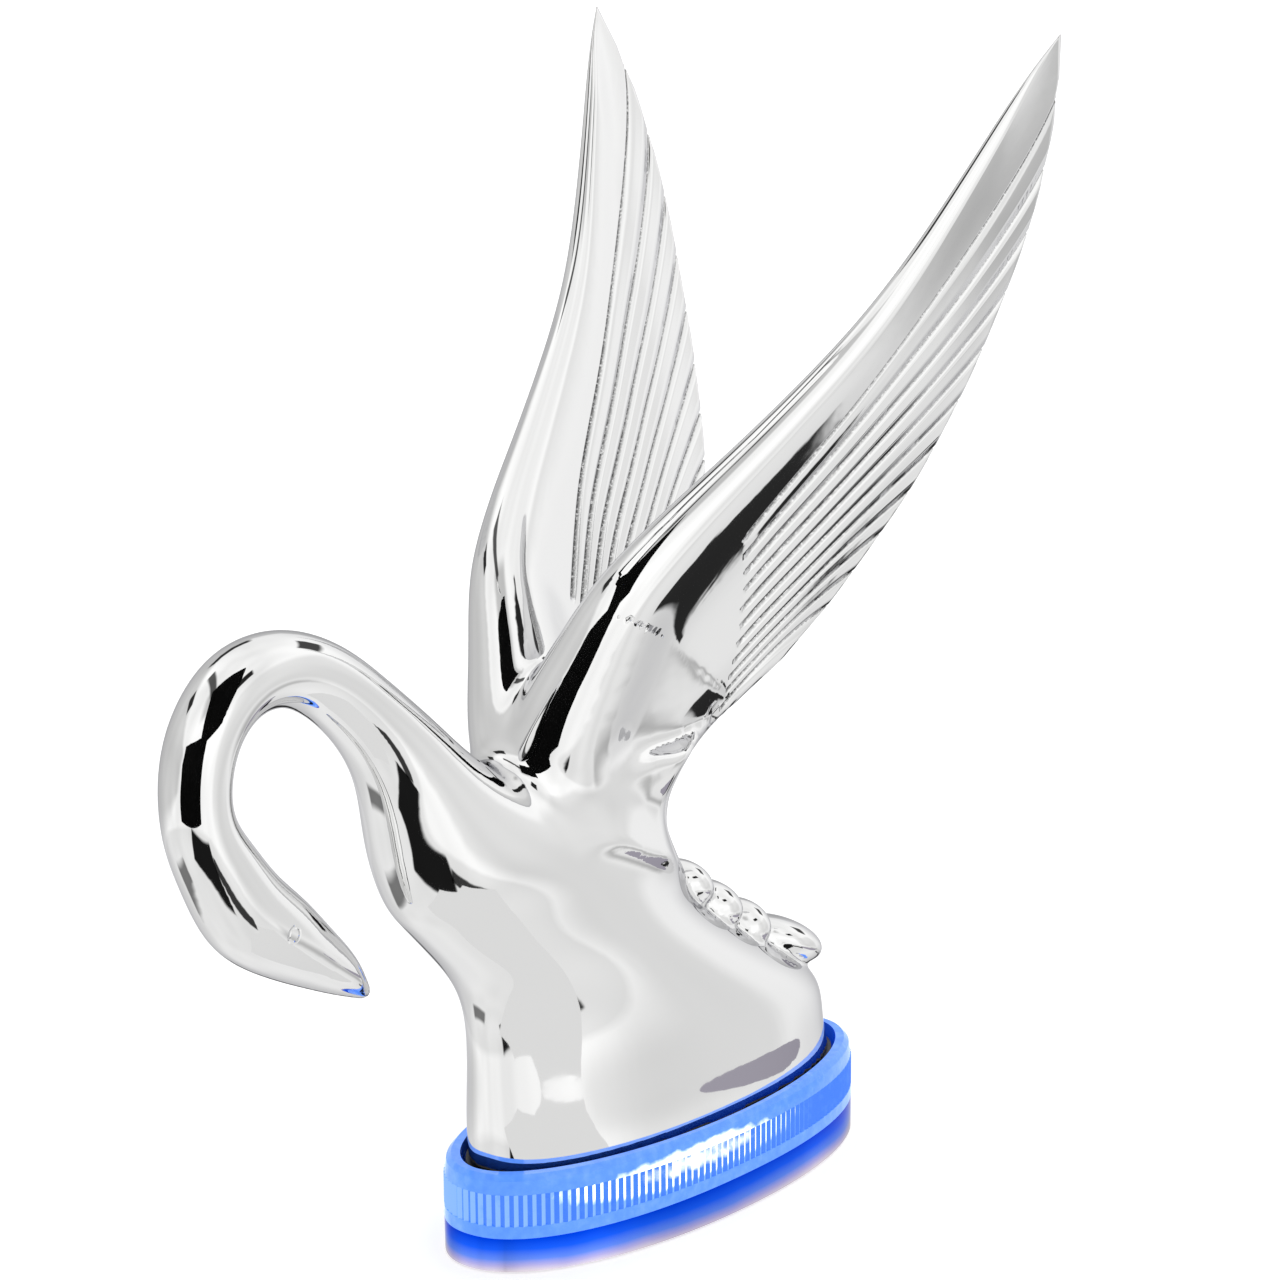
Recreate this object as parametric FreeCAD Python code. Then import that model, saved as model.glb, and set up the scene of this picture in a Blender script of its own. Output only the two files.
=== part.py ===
import FreeCAD, Part
import math
import os

# Swan hood ornament standing on an oval lit base. Millimetres.
# Origin: centre of the base's underside. +Z is up, the swan looks along -Y, X = 0 is its mirror plane.

V = FreeCAD.Vector
os.makedirs("parts", exist_ok=True)

# ---------------------------------------------------------------- driving dimensions
TOTAL_HEIGHT = 222.0          # wing tips above the hood
STUD_SPREAD = 25.4            # mounting holes sit this far in front of and behind the origin
STUD_HOLE_R = 3.0             # M6 thread, drawn at its major radius
STUD_CLEAR_R = 3.4            # clearance for the stud through the base
SCREW_SPREAD = 38.0           # screws that hold the base to the casting
SCREW_R = 2.0
CORE_SCREW_AT = (7.2, 12.0)   # screws that hold the skirt to the core
CORE_SCREW_R = 1.5
BOARD_SCREW_AT = (14.4, 20.0)

PAD_TOP = 1.0
FLOOR_TOP = 3.0
SEAL_BOTTOM = 4.5
SEAL_TOP = 5.3
SEAM_Z = 6.5                  # joint line between skirt and light ring
BOARD_BOTTOM = 6.6
BOARD_TOP = 7.8
PLATE_BOTTOM = 13.0
PLATE_TOP = 15.8
FOOT_Z = 17.0
RING_TOP = 18.6

# ovals: half length along Y, half width along X, roundness
SKIRT_FOOT = (55.1, 22.7, 2.12)
SKIRT_LIP = (55.0, 22.0, 2.2)
RING_INNER = (52.3, 20.0, 1.98)
PLATE_OVAL = (51.2, 19.2, 2.0)
GASKET_OVAL = (50.4, 19.0, 2.1)
CORE_OVAL = (44.0, 13.5, 2.1)
TRAY_OVAL = (52.5, 19.7, 2.1)

FLUTES = 150                  # upright ribs around the light ring
FLUTE_DEPTH = 0.45
LEDS = 18
GROOVES = 11                  # feather grooves on each face of a wing


# ---------------------------------------------------------------- helpers
def oval_point(oval, angle):
    """Point of a superellipse, angle measured from +Y towards +X."""
    half_y, half_x, n = oval
    c = math.cos(angle)
    s = math.sin(angle)
    return V(half_x * math.copysign(abs(s) ** (2.0 / n), s),
             half_y * math.copysign(abs(c) ** (2.0 / n), c), 0)


def closed_spline(points):
    curve = Part.BSplineCurve()
    curve.interpolate(Points=points, PeriodicFlag=True)
    return Part.Wire([curve.toShape()])


def skin(rings):
    """Closed solid with one smooth skin through rings of points and a flat cap at each end."""
    surface = Part.BSplineSurface()
    surface.interpolate([ring + ring[:1] for ring in rings])
    u0, u1, v0, v1 = surface.bounds()
    faces = []
    for low, high in ((v0, (v0 + v1) / 2), ((v0 + v1) / 2, v1)):
        half = surface.copy()
        half.segment(u0, u1, low, high)
        faces.append(half.toShape())
    for u in (u0, u1):
        faces.append(Part.Face(Part.Wire([surface.uIso(u).toShape()])))
    shell = Part.makeShell(faces)
    shell.sewShape()
    return Part.makeSolid(shell)


def oval_wire(oval, z, count=32):
    points = [oval_point(oval, 2 * math.pi * i / count) for i in range(count)]
    return closed_spline([V(p.x, p.y, z) for p in points])


def inset(oval, by):
    return (oval[0] - by, oval[1] - by, oval[2])


def oval_solid(low, z_low, high, z_high):
    """Solid between two ovals at two heights."""
    return Part.makeLoft([oval_wire(low, z_low), oval_wire(high, z_high)], True, True)


def oval_plate(oval, z_low, z_high):
    return Part.Face(oval_wire(oval, z_low)).extrude(V(0, 0, z_high - z_low))


def post(x, y, radius, z_low, z_high):
    return Part.makeCylinder(radius, z_high - z_low, V(x, y, z_low))


def centred_box(centre, size, turn=0.0):
    box = Part.makeBox(size[0], size[1], size[2], V(-size[0] / 2, -size[1] / 2, 0))
    box.rotate(V(0, 0, 0), V(0, 0, 1), turn)
    box.translate(centre)
    return box


def four_ways(x, y):
    return [(sx * x, sy * y) for sx in (1, -1) for sy in (1, -1)]


def fore_and_aft(distance):
    return [(0.0, distance), (0.0, -distance)]


def around(oval, count, start=0.0):
    """Points at equal steps of length along an oval, with the outward heading in degrees."""
    fine = 1440
    points = [oval_point(oval, 2 * math.pi * i / fine) for i in range(fine + 1)]
    lengths = [0.0]
    for a, b in zip(points, points[1:]):
        lengths.append(lengths[-1] + (b - a).Length)
    total = lengths[-1]
    stops = []
    index = 0
    for k in range(count):
        target = total * (k + start) / count
        while lengths[index + 1] < target:
            index += 1
        along = (points[index + 1] - points[index]).normalize()
        part = (target - lengths[index]) / (lengths[index + 1] - lengths[index])
        place = points[index] + (points[index + 1] - points[index]) * part
        heading = math.degrees(math.atan2(along.x, -along.y))
        stops.append((place, heading))
    return stops


def mirrored(shape):
    return shape.mirror(V(0, 0, 0), V(1, 0, 0))


def save(name, shape):
    shape.exportStep("parts/" + name + ".step")


# ---------------------------------------------------------------- swan: body, neck and head
def cross_section(front, rear, half_width, n=2.0):
    """Ring of points through two points (y, z) of the mirror plane, with a half width in X."""
    y0, z0 = front
    y1, z1 = rear
    points = []
    for i in range(20):
        angle = 2 * math.pi * i / 20
        c = math.cos(angle)
        s = math.sin(angle)
        along = 0.5 - 0.5 * math.copysign(abs(c) ** (2.0 / n), c)
        across = half_width * math.copysign(abs(s) ** (2.0 / n), s)
        points.append(V(across, y0 + (y1 - y0) * along, z0 + (z1 - z0) * along))
    return points


def tube_section(centre, heading, depth, half_width):
    """Section square to the neck's run; heading in degrees, 0 along +Y and 90 up."""
    a = math.radians(heading)
    dy = -math.sin(a) * depth
    dz = math.cos(a) * depth
    y, z = centre
    return cross_section((y + dy, z + dz), (y - dy, z - dz), half_width)


def swan_body():
    """Pedestal, breast, neck, head and beak as one smooth skin."""
    sections = [
        cross_section((-49.7, FOOT_Z), (49.7, FOOT_Z), 18.4, 2.1),
        cross_section((-50.2, 23), (48.2, 22.5), 18.3, 2.1),
        cross_section((-50.4, 34), (46.5, 31), 17.6, 2.05),
        cross_section((-51.0, 45.5), (32.5, 41), 16.8, 2.0),
        cross_section((-54.8, 54.5), (15, 51.5), 16.2, 2.0),
        cross_section((-61.0, 61.5), (3, 61.5), 15.8, 2.0),
        cross_section((-67.0, 67.5), (-6, 74), 15.2, 2.0),
        cross_section((-71.8, 74.0), (-30, 87), 14.2, 2.0),
        cross_section((-75.0, 83.6), (-49, 95.5), 11.8, 2.0),
    ]
    neck = [
        # centre (y, z), heading, half depth, half width
        ((-70.6, 101.4), 127, 9.3, 8.8),
        ((-80.6, 112.4), 138, 7.2, 7.2),
        ((-90.0, 119.6), 150, 6.8, 6.8),
        ((-99.7, 123.2), 176, 6.7, 6.7),
        ((-109.8, 122.0), 208, 6.6, 6.6),
        ((-116.8, 115.8), 239, 6.3, 6.4),
        ((-119.7, 107.0), 262, 6.2, 6.3),
        ((-119.0, 99.4), 285, 6.5, 6.4),
        ((-115.2, 91.5), 301, 7.5, 6.8),
        ((-109.2, 82.8), 313, 8.4, 7.1),
        ((-100.8, 76.0), 323, 7.6, 6.5),
        ((-92.4, 69.9), 324, 5.7, 5.0),
        ((-85.4, 64.6), 321, 3.6, 3.6),
        ((-80.8, 60.4), 317, 1.2, 1.9),
    ]
    for centre, heading, depth, half_width in neck:
        sections.append(tube_section(centre, heading, depth, half_width))
    return skin(sections)


def tail_feathers():
    """Four round feather tips that step down the rump."""
    tips = [
        # centre (y, z), half sizes across, along, thick, tilt
        ((8.5, 58.8), (6.8, 6.0, 4.4), -38),
        ((16.0, 52.5), (8.0, 6.4, 5.0), -32),
        ((25.4, 46.1), (7.8, 5.9, 5.3), -30),
        ((38.6, 39.7), (9.3, 9.9, 4.5), -26),
    ]
    lumps = []
    for (y, z), half_sizes, tilt in tips:
        matrix = FreeCAD.Matrix()
        matrix.scale(*half_sizes)
        lump = Part.makeSphere(1.0).transformGeometry(matrix)
        lump.rotate(V(0, 0, 0), V(1, 0, 0), tilt)
        lump.translate(V(0, y, z))
        lumps.append(lump)
    return lumps


# ---------------------------------------------------------------- swan: wings
WING_NORMAL = V(1.0, -0.096, -0.347).normalize()


def wing_plane(y, z, lift=0.0):
    """Point of the left wing's middle plane, moved outward by lift."""
    return V(-26.2 + 0.096 * y + 0.347 * z, y, z) + WING_NORMAL * lift


def wing_section(lead, trail, spar, blade, edge):
    """Ring of points: thick round spar at the leading edge, thin blade behind it."""
    a = wing_plane(*lead)
    chord = wing_plane(*trail) - a
    crest = min(1.1 * spar / chord.Length, 0.3)
    ring = []
    for i in range(20):
        angle = math.pi + 2 * math.pi * i / 20
        u = 0.5 - 0.5 * math.cos(angle)
        if u < crest:
            half = spar * math.sqrt(1 - (1 - u / crest) ** 2)
        else:
            half = blade + (spar - blade) * math.exp(-((u - crest) / 0.22) ** 2)
        if u > 0.6:
            half += (edge - half) * (u - 0.6) / 0.4
        lift = half * min(1.0, abs(math.sin(angle)) * 2.6) * math.copysign(1, math.sin(angle))
        ring.append(a + chord * u + WING_NORMAL * (lift if 0 < i % 10 else 0.0))
    return ring


def wing_blank():
    table = [
        # leading edge (y, z), trailing edge (y, z), half thickness of spar, blade, edge
        ((-40.0, 79.0), (2.0, 63.0), 11.8, 9.6, 5.0),
        ((-41.5, 89.5), (2.8, 75.5), 10.8, 7.8, 2.8),
        ((-42.0, 99.5), (6.5, 87.5), 9.6, 6.0, 1.6),
        ((-37.8, 113.5), (21.0, 99.3), 7.6, 3.2, 0.9),
        ((-31.0, 127.0), (36.0, 114.5), 5.9, 2.1, 0.8),
        ((-20.0, 137.8), (43.3, 125.8), 4.9, 1.9, 0.75),
        ((-9.8, 146.3), (48.8, 137.0), 4.2, 1.8, 0.7),
        ((5.6, 159.0), (53.6, 152.5), 3.4, 1.6, 0.65),
        ((19.9, 173.1), (57.2, 170.0), 2.7, 1.4, 0.6),
        ((31.3, 189.3), (58.7, 187.5), 2.0, 1.2, 0.55),
        ((41.1, 206.0), (57.6, 203.0), 1.4, 0.95, 0.5),
        ((47.0, 215.8), (54.8, 213.8), 0.9, 0.65, 0.4),
        ((51.0, TOTAL_HEIGHT - 0.3), (52.3, TOTAL_HEIGHT - 0.7), 0.28, 0.25, 0.2),
    ]
    return skin([wing_section(*row) for row in table])


def groove_line(index, side):
    """Start and end (y, z) of one groove, counted from the leading edge; it ends past the wing.
    On the inner face (side -1) the grooves reach further down towards the back."""
    step = GROOVES - 1 - index
    longer = 2.0 * step if side < 0 else 0.0
    start = (1.8 + 1.35 * index - 0.055 * index ** 2 - 0.60 * longer, 132.6 - 3.72 * index - 0.80 * longer)
    end_z = 112.7 + 6.0 * step + 0.375 * step ** 2
    t = (end_z - 112.7) / 98.3
    end = (35.0 + 69.5 * t - 64.0 * t * t + 17.6 * t ** 3, end_z + 1.5)
    return start, end


def groove_slot(index, side):
    """Slot for one face of the left wing; side is 1 for the outer face, -1 for the inner."""
    start, end = groove_line(index, side)
    width = 1.5
    low = wing_plane(*start, side * (1.05 - 0.03 * index))
    far = wing_plane(*end, side * 0.42)
    run = far - low
    across = run.cross(WING_NORMAL).normalize() * (width / 2)
    rise = WING_NORMAL * (side * 6.0)
    floor = Part.Face(Part.makePolygon([low - across, low + across, far + across, far - across,
                                        low - across]))
    return floor.extrude(rise)


def wing():
    """Left wing with its feather grooves on both faces."""
    shape = wing_blank()
    for side in (1, -1):
        slots = [groove_slot(index, side) for index in range(GROOVES)]
        shape = shape.cut(slots)
    return shape


def eye_rings():
    rings = []
    for side in (1, -1):
        rings.append(Part.makeTorus(1.3, 0.22, V(side * 6.9, -104.3, 78.6), V(1, 0, 0)))
    return rings


def casting_cavity():
    """Hollow under the pedestal, leaving the four bosses."""
    room = oval_solid((45.2, 14.2, 2.1), FOOT_Z, (31.0, 9.0, 2.0), 42.0)
    for x, y in fore_and_aft(STUD_SPREAD):
        room = room.cut(post(x, y, 6.2, FOOT_Z, 44))
    for x, y in fore_and_aft(SCREW_SPREAD):
        room = room.cut(post(x, y, 4.2, FOOT_Z, 44))
    return room


def swan_half():
    """Left half of the solid swan, cut off at the mirror plane."""
    half = swan_body().fuse([wing()] + tail_feathers())
    return half.common(Part.makeBox(200, 400, 400, V(0, -200, -50)))


def swan_casting():
    half = swan_half()
    shape = half.fuse(mirrored(half)).cut(casting_cavity())
    feet = [post(x, y, 6.2, PLATE_TOP, FOOT_Z + 1) for x, y in fore_and_aft(STUD_SPREAD)]
    feet += [post(x, y, 4.2, PLATE_TOP, FOOT_Z + 1) for x, y in fore_and_aft(SCREW_SPREAD)]
    shape = shape.fuse(feet)
    holes = [post(x, y, STUD_HOLE_R, PLATE_TOP, PLATE_TOP + 18) for x, y in fore_and_aft(STUD_SPREAD)]
    holes += [post(x, y, SCREW_R + 0.03, PLATE_TOP, PLATE_TOP + 12)
              for x, y in fore_and_aft(SCREW_SPREAD)]
    return shape.cut(holes + eye_rings())


# ---------------------------------------------------------------- lit base
def seat_gasket():
    outer = oval_plate(GASKET_OVAL, PLATE_TOP, FOOT_Z)
    return outer.cut(oval_plate((43.6, 12.6, 2.1), PLATE_TOP, FOOT_Z))


def fluted_band():
    """Upright ribs around the ring, drawn as one zigzag outline and raised."""
    outline = (54.75, 21.8, 2.2)
    corners = []
    for k, (place, heading) in enumerate(around(outline, 2 * FLUTES)):
        a = math.radians(heading)
        out = V(math.cos(a), math.sin(a), 0) * (FLUTE_DEPTH / 2 if k % 2 else -FLUTE_DEPTH / 2)
        corners.append(place + out + V(0, 0, SEAM_Z + 2.3))
    outline_wire = Part.makePolygon(corners + corners[:1])
    return Part.Face(outline_wire).extrude(V(0, 0, 6.2))


def light_ring():
    """Translucent ring: plain flange, fluted band, plain crown and a tongue into the skirt."""
    band_low = SEAM_Z + 2.3
    band_high = band_low + 6.2
    flange = oval_solid((55.0, 22.0, 2.2), SEAM_Z, (54.95, 21.95, 2.2), band_low)
    crown = oval_solid((54.8, 21.85, 2.2), band_high, (54.5, 21.6, 2.18), RING_TOP - 1.0)
    brow = oval_solid((54.5, 21.6, 2.18), RING_TOP - 1.0, (53.7, 20.9, 2.12), RING_TOP)
    tongue = oval_plate((53.6, 20.6, 2.2), SEAL_TOP, SEAM_Z)
    ring = flange.fuse([fluted_band(), crown, brow, tongue])
    return ring.cut(oval_plate(RING_INNER, SEAL_TOP - 1, RING_TOP + 1))


def ring_seal():
    return oval_plate((53.6, 20.6, 2.2), SEAL_BOTTOM, SEAL_TOP).cut(
        oval_plate((52.5, 19.7, 2.1), SEAL_BOTTOM, SEAL_TOP))


def core_screw_places():
    return four_ways(*CORE_SCREW_AT)


def base_skirt():
    """Chrome outer wall, with a ledge for the ring's tongue and a recess for the pad."""
    wall = oval_solid(SKIRT_FOOT, 0, SKIRT_LIP, SEAM_Z)
    wall = wall.cut(oval_plate((53.0, 20.5, 2.12), 0, PAD_TOP))
    wall = wall.cut(oval_plate(TRAY_OVAL, PAD_TOP, SEAM_Z))
    return wall.cut(oval_plate((53.7, 20.7, 2.2), SEAL_BOTTOM, SEAM_Z))


def bottom_plate():
    """Flat plate pressed into the skirt, drilled for studs, screws and wire."""
    plate = oval_plate(TRAY_OVAL, PAD_TOP, FLOOR_TOP)
    holes = [post(x, y, STUD_CLEAR_R, 0, 4) for x, y in fore_and_aft(STUD_SPREAD)]
    holes += [post(x, y, 4.6, 0, 4) for x, y in fore_and_aft(SCREW_SPREAD)]
    holes.append(post(0, 0, 4.0, 0, 4))
    for x, y in core_screw_places():
        holes.append(post(x, y, CORE_SCREW_R + 0.1, 0, 4))
        holes.append(Part.makeCone(2.95, CORE_SCREW_R + 0.1, 1.4, V(x, y, PAD_TOP)))
    return plate.cut(holes)


def base_pad():
    pad = oval_plate((52.6, 20.1, 2.12), 0, PAD_TOP)
    holes = [post(x, y, 4.0, 0, PAD_TOP) for x, y in fore_and_aft(STUD_SPREAD)]
    holes += [post(x, y, 4.8, 0, PAD_TOP) for x, y in fore_and_aft(SCREW_SPREAD)]
    holes.append(post(0, 0, 5.8, 0, PAD_TOP))
    return pad.cut(holes)


def carrier_plate():
    """Plate on top of the core that carries the swan."""
    plate = oval_plate(PLATE_OVAL, PLATE_BOTTOM, PLATE_TOP)
    holes = [post(x, y, STUD_CLEAR_R, 0, 20) for x, y in fore_and_aft(STUD_SPREAD)]
    holes += [post(x, y, SCREW_R + 0.2, 0, 20) for x, y in fore_and_aft(SCREW_SPREAD)]
    return plate.cut(holes)


def base_core():
    """Moulded core: oval wall and screw columns; the studs pass through the open space between."""
    wall = oval_plate(CORE_OVAL, FLOOR_TOP, PLATE_BOTTOM).cut(
        oval_plate(inset(CORE_OVAL, 2.2), FLOOR_TOP, PLATE_BOTTOM))
    parts = [post(x, y, 5.8, FLOOR_TOP, PLATE_BOTTOM) for x, y in fore_and_aft(SCREW_SPREAD)]
    parts += [post(x, y, 3.8, FLOOR_TOP, PLATE_BOTTOM) for x, y in core_screw_places()]
    parts += [post(x, y, 2.6, FLOOR_TOP, BOARD_BOTTOM) for x, y in four_ways(*BOARD_SCREW_AT)]
    core = wall.fuse(parts)
    holes = [post(x, y, SCREW_R + 0.2, 0, 20) for x, y in fore_and_aft(SCREW_SPREAD)]
    holes += [post(x, y, 4.3, 0, 8.0) for x, y in fore_and_aft(SCREW_SPREAD)]
    holes += [post(x, y, 2.3, 0, FLOOR_TOP + 5.5) for x, y in core_screw_places()]
    holes += [post(x, y, 0.9, 0, BOARD_BOTTOM) for x, y in four_ways(*BOARD_SCREW_AT)]
    holes.append(centred_box(V(12.5, 0, FLOOR_TOP), (6, 6, 3.4)))
    return core.cut(holes)


def thread_inserts():
    return Part.makeCompound([
        post(x, y, 2.3, FLOOR_TOP, FLOOR_TOP + 5).cut(post(x, y, CORE_SCREW_R + 0.02, 0, 10))
        for x, y in core_screw_places()])


def core_screws():
    screws = []
    for x, y in core_screw_places():
        head = Part.makeCone(2.85, CORE_SCREW_R, 1.4, V(x, y, PAD_TOP))
        shank = post(x, y, CORE_SCREW_R, PAD_TOP, 7.6)
        slot = centred_box(V(x, y, PAD_TOP), (4.2, 0.8, 0.6))
        screws.append(head.fuse(shank).cut(slot).removeSplitter())
    return Part.makeCompound(screws)


def casting_washers():
    return Part.makeCompound([post(x, y, 4.1, 7.2, 8.0).cut(post(x, y, SCREW_R + 0.15, 7, 9))
                              for x, y in fore_and_aft(SCREW_SPREAD)])


def lock_washers():
    rings = []
    for x, y in fore_and_aft(SCREW_SPREAD):
        ring = post(x, y, 3.4, 6.3, 7.2).cut(post(x, y, SCREW_R + 0.15, 6, 9))
        rings.append(ring.cut(centred_box(V(x + 3, y, 6), (3, 0.7, 2))))
    return Part.makeCompound(rings)


def casting_screws():
    screws = []
    for x, y in fore_and_aft(SCREW_SPREAD):
        head = post(x, y, 3.6, 3.8, 6.3)
        shank = post(x, y, SCREW_R, 6.3, 26.0)
        cross = [centred_box(V(x, y, 3.8), (4.2, 0.9, 1.3), turn) for turn in (0, 90)]
        screws.append(head.fuse(shank).removeSplitter().cut(cross))
    return Part.makeCompound(screws)


def wire_grommet():
    body = post(0, 0, 5.2, 0.1, PAD_TOP)
    body = body.fuse([post(0, 0, 4.0, PAD_TOP, FLOOR_TOP), post(0, 0, 5.2, FLOOR_TOP, FLOOR_TOP + 1)])
    return body.cut(post(0, 0, 2.2, 0, 6))


BOARD_OUTER = (50.5, 17.8, 2.1)
BOARD_INNER = (44.4, 13.9, 2.1)
BOARD_MIDDLE = (47.4, 15.9, 2.1)


def led_board():
    board = oval_plate(BOARD_OUTER, BOARD_BOTTOM, BOARD_TOP).cut(
        oval_plate(BOARD_INNER, BOARD_BOTTOM, BOARD_TOP))
    holes = [post(x, y, 1.05, BOARD_BOTTOM, BOARD_TOP) for x, y in four_ways(*BOARD_SCREW_AT)]
    holes += [post(15.8, y, 0.45, BOARD_BOTTOM, BOARD_TOP) for y in (-1.25, 1.25)]
    return board.cut(holes)


def board_screws():
    screws = []
    for x, y in four_ways(*BOARD_SCREW_AT):
        screw = post(x, y, 1.6, BOARD_TOP, BOARD_TOP + 1.0).fuse(
            post(x, y, 0.85, BOARD_TOP - 4.2, BOARD_TOP)).removeSplitter()
        screws.append(screw.cut(centred_box(V(x, y, BOARD_TOP + 0.6), (2.2, 0.5, 1))))
    return Part.makeCompound(screws)


def led_places():
    return around(BOARD_MIDDLE, LEDS, 0.5)


def led_housings():
    bodies = []
    for place, heading in led_places():
        spot = V(place.x, place.y, BOARD_TOP)
        body = centred_box(spot, (1.7, 3.4, 2.0), heading)
        a = math.radians(heading)
        face = spot + V(math.cos(a), math.sin(a), 0) * 0.7 + V(0, 0, 0.4)
        bodies.append(body.cut(centred_box(face, (0.6, 2.6, 1.2), heading)))
    return Part.makeCompound(bodies)


def led_windows():
    windows = []
    for place, heading in led_places():
        a = math.radians(heading)
        face = V(place.x, place.y, BOARD_TOP + 0.4) + V(math.cos(a), math.sin(a), 0) * 0.625
        windows.append(centred_box(face, (0.45, 2.6, 1.2), heading))
    return Part.makeCompound(windows)


def chip_resistors():
    chips = []
    for place, heading in around(BOARD_MIDDLE, LEDS, 0.0)[2:18:5]:
        chips.append(centred_box(V(place.x, place.y, BOARD_TOP), (1.6, 3.0, 0.6), heading))
    return Part.makeCompound(chips)


def input_diode():
    return centred_box(V(-15.8, 0, BOARD_TOP), (2.6, 3.4, 2.0))


def wire_header():
    """Two-way plug housing under the board, open towards the core."""
    body = centred_box(V(15.6, 0, FLOOR_TOP + 0.5), (3.6, 6.4, BOARD_BOTTOM - FLOOR_TOP - 0.5))
    room = centred_box(V(15.0, 0, FLOOR_TOP + 1.1), (3.6, 5.2, 2.0))
    holes = [post(15.8, y, 0.4, FLOOR_TOP, BOARD_TOP) for y in (-1.25, 1.25)]
    return body.cut([room] + holes)


def header_pins():
    return Part.makeCompound([post(15.8, y, 0.32, FLOOR_TOP + 1.4, BOARD_TOP + 0.6)
                              for y in (-1.25, 1.25)])


def light_reflector():
    return oval_plate((45.1, 14.6, 2.1), BOARD_TOP + 0.2, PLATE_BOTTOM).cut(
        oval_plate((44.3, 13.8, 2.1), BOARD_TOP + 0.2, PLATE_BOTTOM))


BUILDERS = [
    swan_casting, seat_gasket, light_ring, ring_seal, base_skirt, bottom_plate, base_pad,
    carrier_plate, base_core, thread_inserts, core_screws, casting_screws, casting_washers, lock_washers, wire_grommet,
    led_board, board_screws, led_housings, led_windows, chip_resistors, input_diode,
    wire_header, header_pins, light_reflector,
]

for builder in BUILDERS:
    save(builder.__name__, builder())
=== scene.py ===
import math

import bmesh
import bpy
import numpy as np
import openvdb as vdb
from mathutils import Matrix, Vector


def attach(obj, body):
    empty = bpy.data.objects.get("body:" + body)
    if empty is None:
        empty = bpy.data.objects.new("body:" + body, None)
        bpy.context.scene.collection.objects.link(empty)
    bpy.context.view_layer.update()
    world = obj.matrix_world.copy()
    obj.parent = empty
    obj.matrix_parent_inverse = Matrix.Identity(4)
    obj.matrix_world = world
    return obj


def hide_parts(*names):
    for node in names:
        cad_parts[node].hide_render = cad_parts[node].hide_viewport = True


# Looks of the swan hood ornament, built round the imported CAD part.
# Shape numbers are millimetres in the part's frame: the swan looks along -Y, X = 0 is its mirror plane.

MM = 0.001

# ---------------------------------------------------------------- swan: shape numbers
# body rings: front (y, z), rear (y, z), half width, roundness
BODY_RINGS = [
    ((-49.7, 17.0), (49.7, 17.0), 18.4, 2.1),
    ((-50.2, 23.0), (48.2, 22.5), 18.3, 2.1),
    ((-50.4, 34.0), (46.5, 31.0), 17.6, 2.05),
    ((-51.0, 45.5), (32.5, 41.0), 16.8, 2.0),
    ((-54.8, 54.5), (15.0, 51.5), 16.2, 2.0),
    ((-61.0, 61.5), (3.0, 61.5), 15.8, 2.0),
    ((-67.0, 67.5), (-6.0, 74.0), 15.2, 2.0),
    ((-71.8, 74.0), (-30.0, 87.0), 14.2, 2.0),
    ((-75.0, 83.6), (-49.0, 95.5), 11.8, 2.0),
]
# neck and head rings: centre (y, z), heading in degrees, half depth, half width
NECK_RINGS = [
    ((-70.6, 101.4), 127, 9.3, 8.8),
    ((-80.6, 112.4), 138, 7.2, 7.2),
    ((-90.0, 119.6), 150, 6.8, 6.8),
    ((-99.7, 123.2), 176, 6.7, 6.7),
    ((-109.8, 122.0), 208, 6.6, 6.6),
    ((-116.8, 115.8), 239, 6.3, 6.4),
    ((-119.7, 107.0), 262, 6.2, 6.3),
    ((-119.0, 99.4), 285, 6.5, 6.4),
    ((-115.2, 91.5), 301, 7.5, 6.8),
    ((-109.2, 82.8), 313, 8.4, 7.1),
    ((-100.8, 76.0), 323, 7.6, 6.5),
    ((-92.4, 69.9), 324, 5.7, 5.0),
    ((-85.4, 64.6), 321, 3.6, 3.6),
    ((-80.8, 60.4), 317, 1.2, 1.9),
]
# wing edges as (y, z) on the wing's middle plane
LEADING_EDGE = [
    (-40.0, 79.0), (-43.0, 90.0), (-42.6, 100.0), (-37.6, 113.5), (-31.0, 127.0), (-24.3, 134.3),
    (-17.0, 140.6), (-9.8, 146.3), (5.6, 159.0), (19.9, 173.1), (31.3, 189.3), (41.1, 206.0),
    (46.1, 214.4), (51.5, 221.9),
]
TRAILING_EDGE = [
    (2.0, 63.0), (2.2, 72.0), (3.9, 80.0), (6.8, 87.5), (11.9, 92.8), (21.5, 99.8), (29.0, 106.5),
    (36.5, 116.0), (42.6, 125.4), (47.9, 135.1), (51.4, 145.3), (54.3, 155.7), (56.3, 166.6),
    (57.9, 177.3), (58.5, 188.3), (57.7, 199.6), (55.6, 211.0), (51.5, 221.9),
]
# height on the leading edge, half thickness of the spar, of the blade, width of the scoop
WING_THICKNESS = [
    (79.0, 11.8, 9.6, 10.0), (90.0, 10.8, 7.8, 10.5), (99.5, 9.6, 6.0, 11.0), (113.5, 7.6, 3.2, 12.5),
    (127.0, 5.9, 2.1, 13.0), (137.8, 4.9, 1.9, 13.0), (146.3, 4.2, 1.8, 12.5), (159.0, 3.4, 1.6, 11.0),
    (173.1, 2.7, 1.4, 9.0), (189.3, 2.0, 1.2, 6.5), (206.0, 1.4, 0.95, 4.0), (215.8, 0.9, 0.65, 2.2),
    (221.9, 0.35, 0.25, 1.0),
]
GROOVES = 11
LAST_LANE = GROOVES + 1        # the trailing edge; lane 0 is the leading edge
FIRST_GROOVE = [
    (-12.4, 113.0), (-6.4, 122.8), (0.8, 133.5), (10.5, 144.6), (20.3, 155.6), (29.3, 167.0),
    (38.0, 178.7), (46.2, 190.9), (53.0, 203.3), (55.6, 210.4),
]
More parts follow.
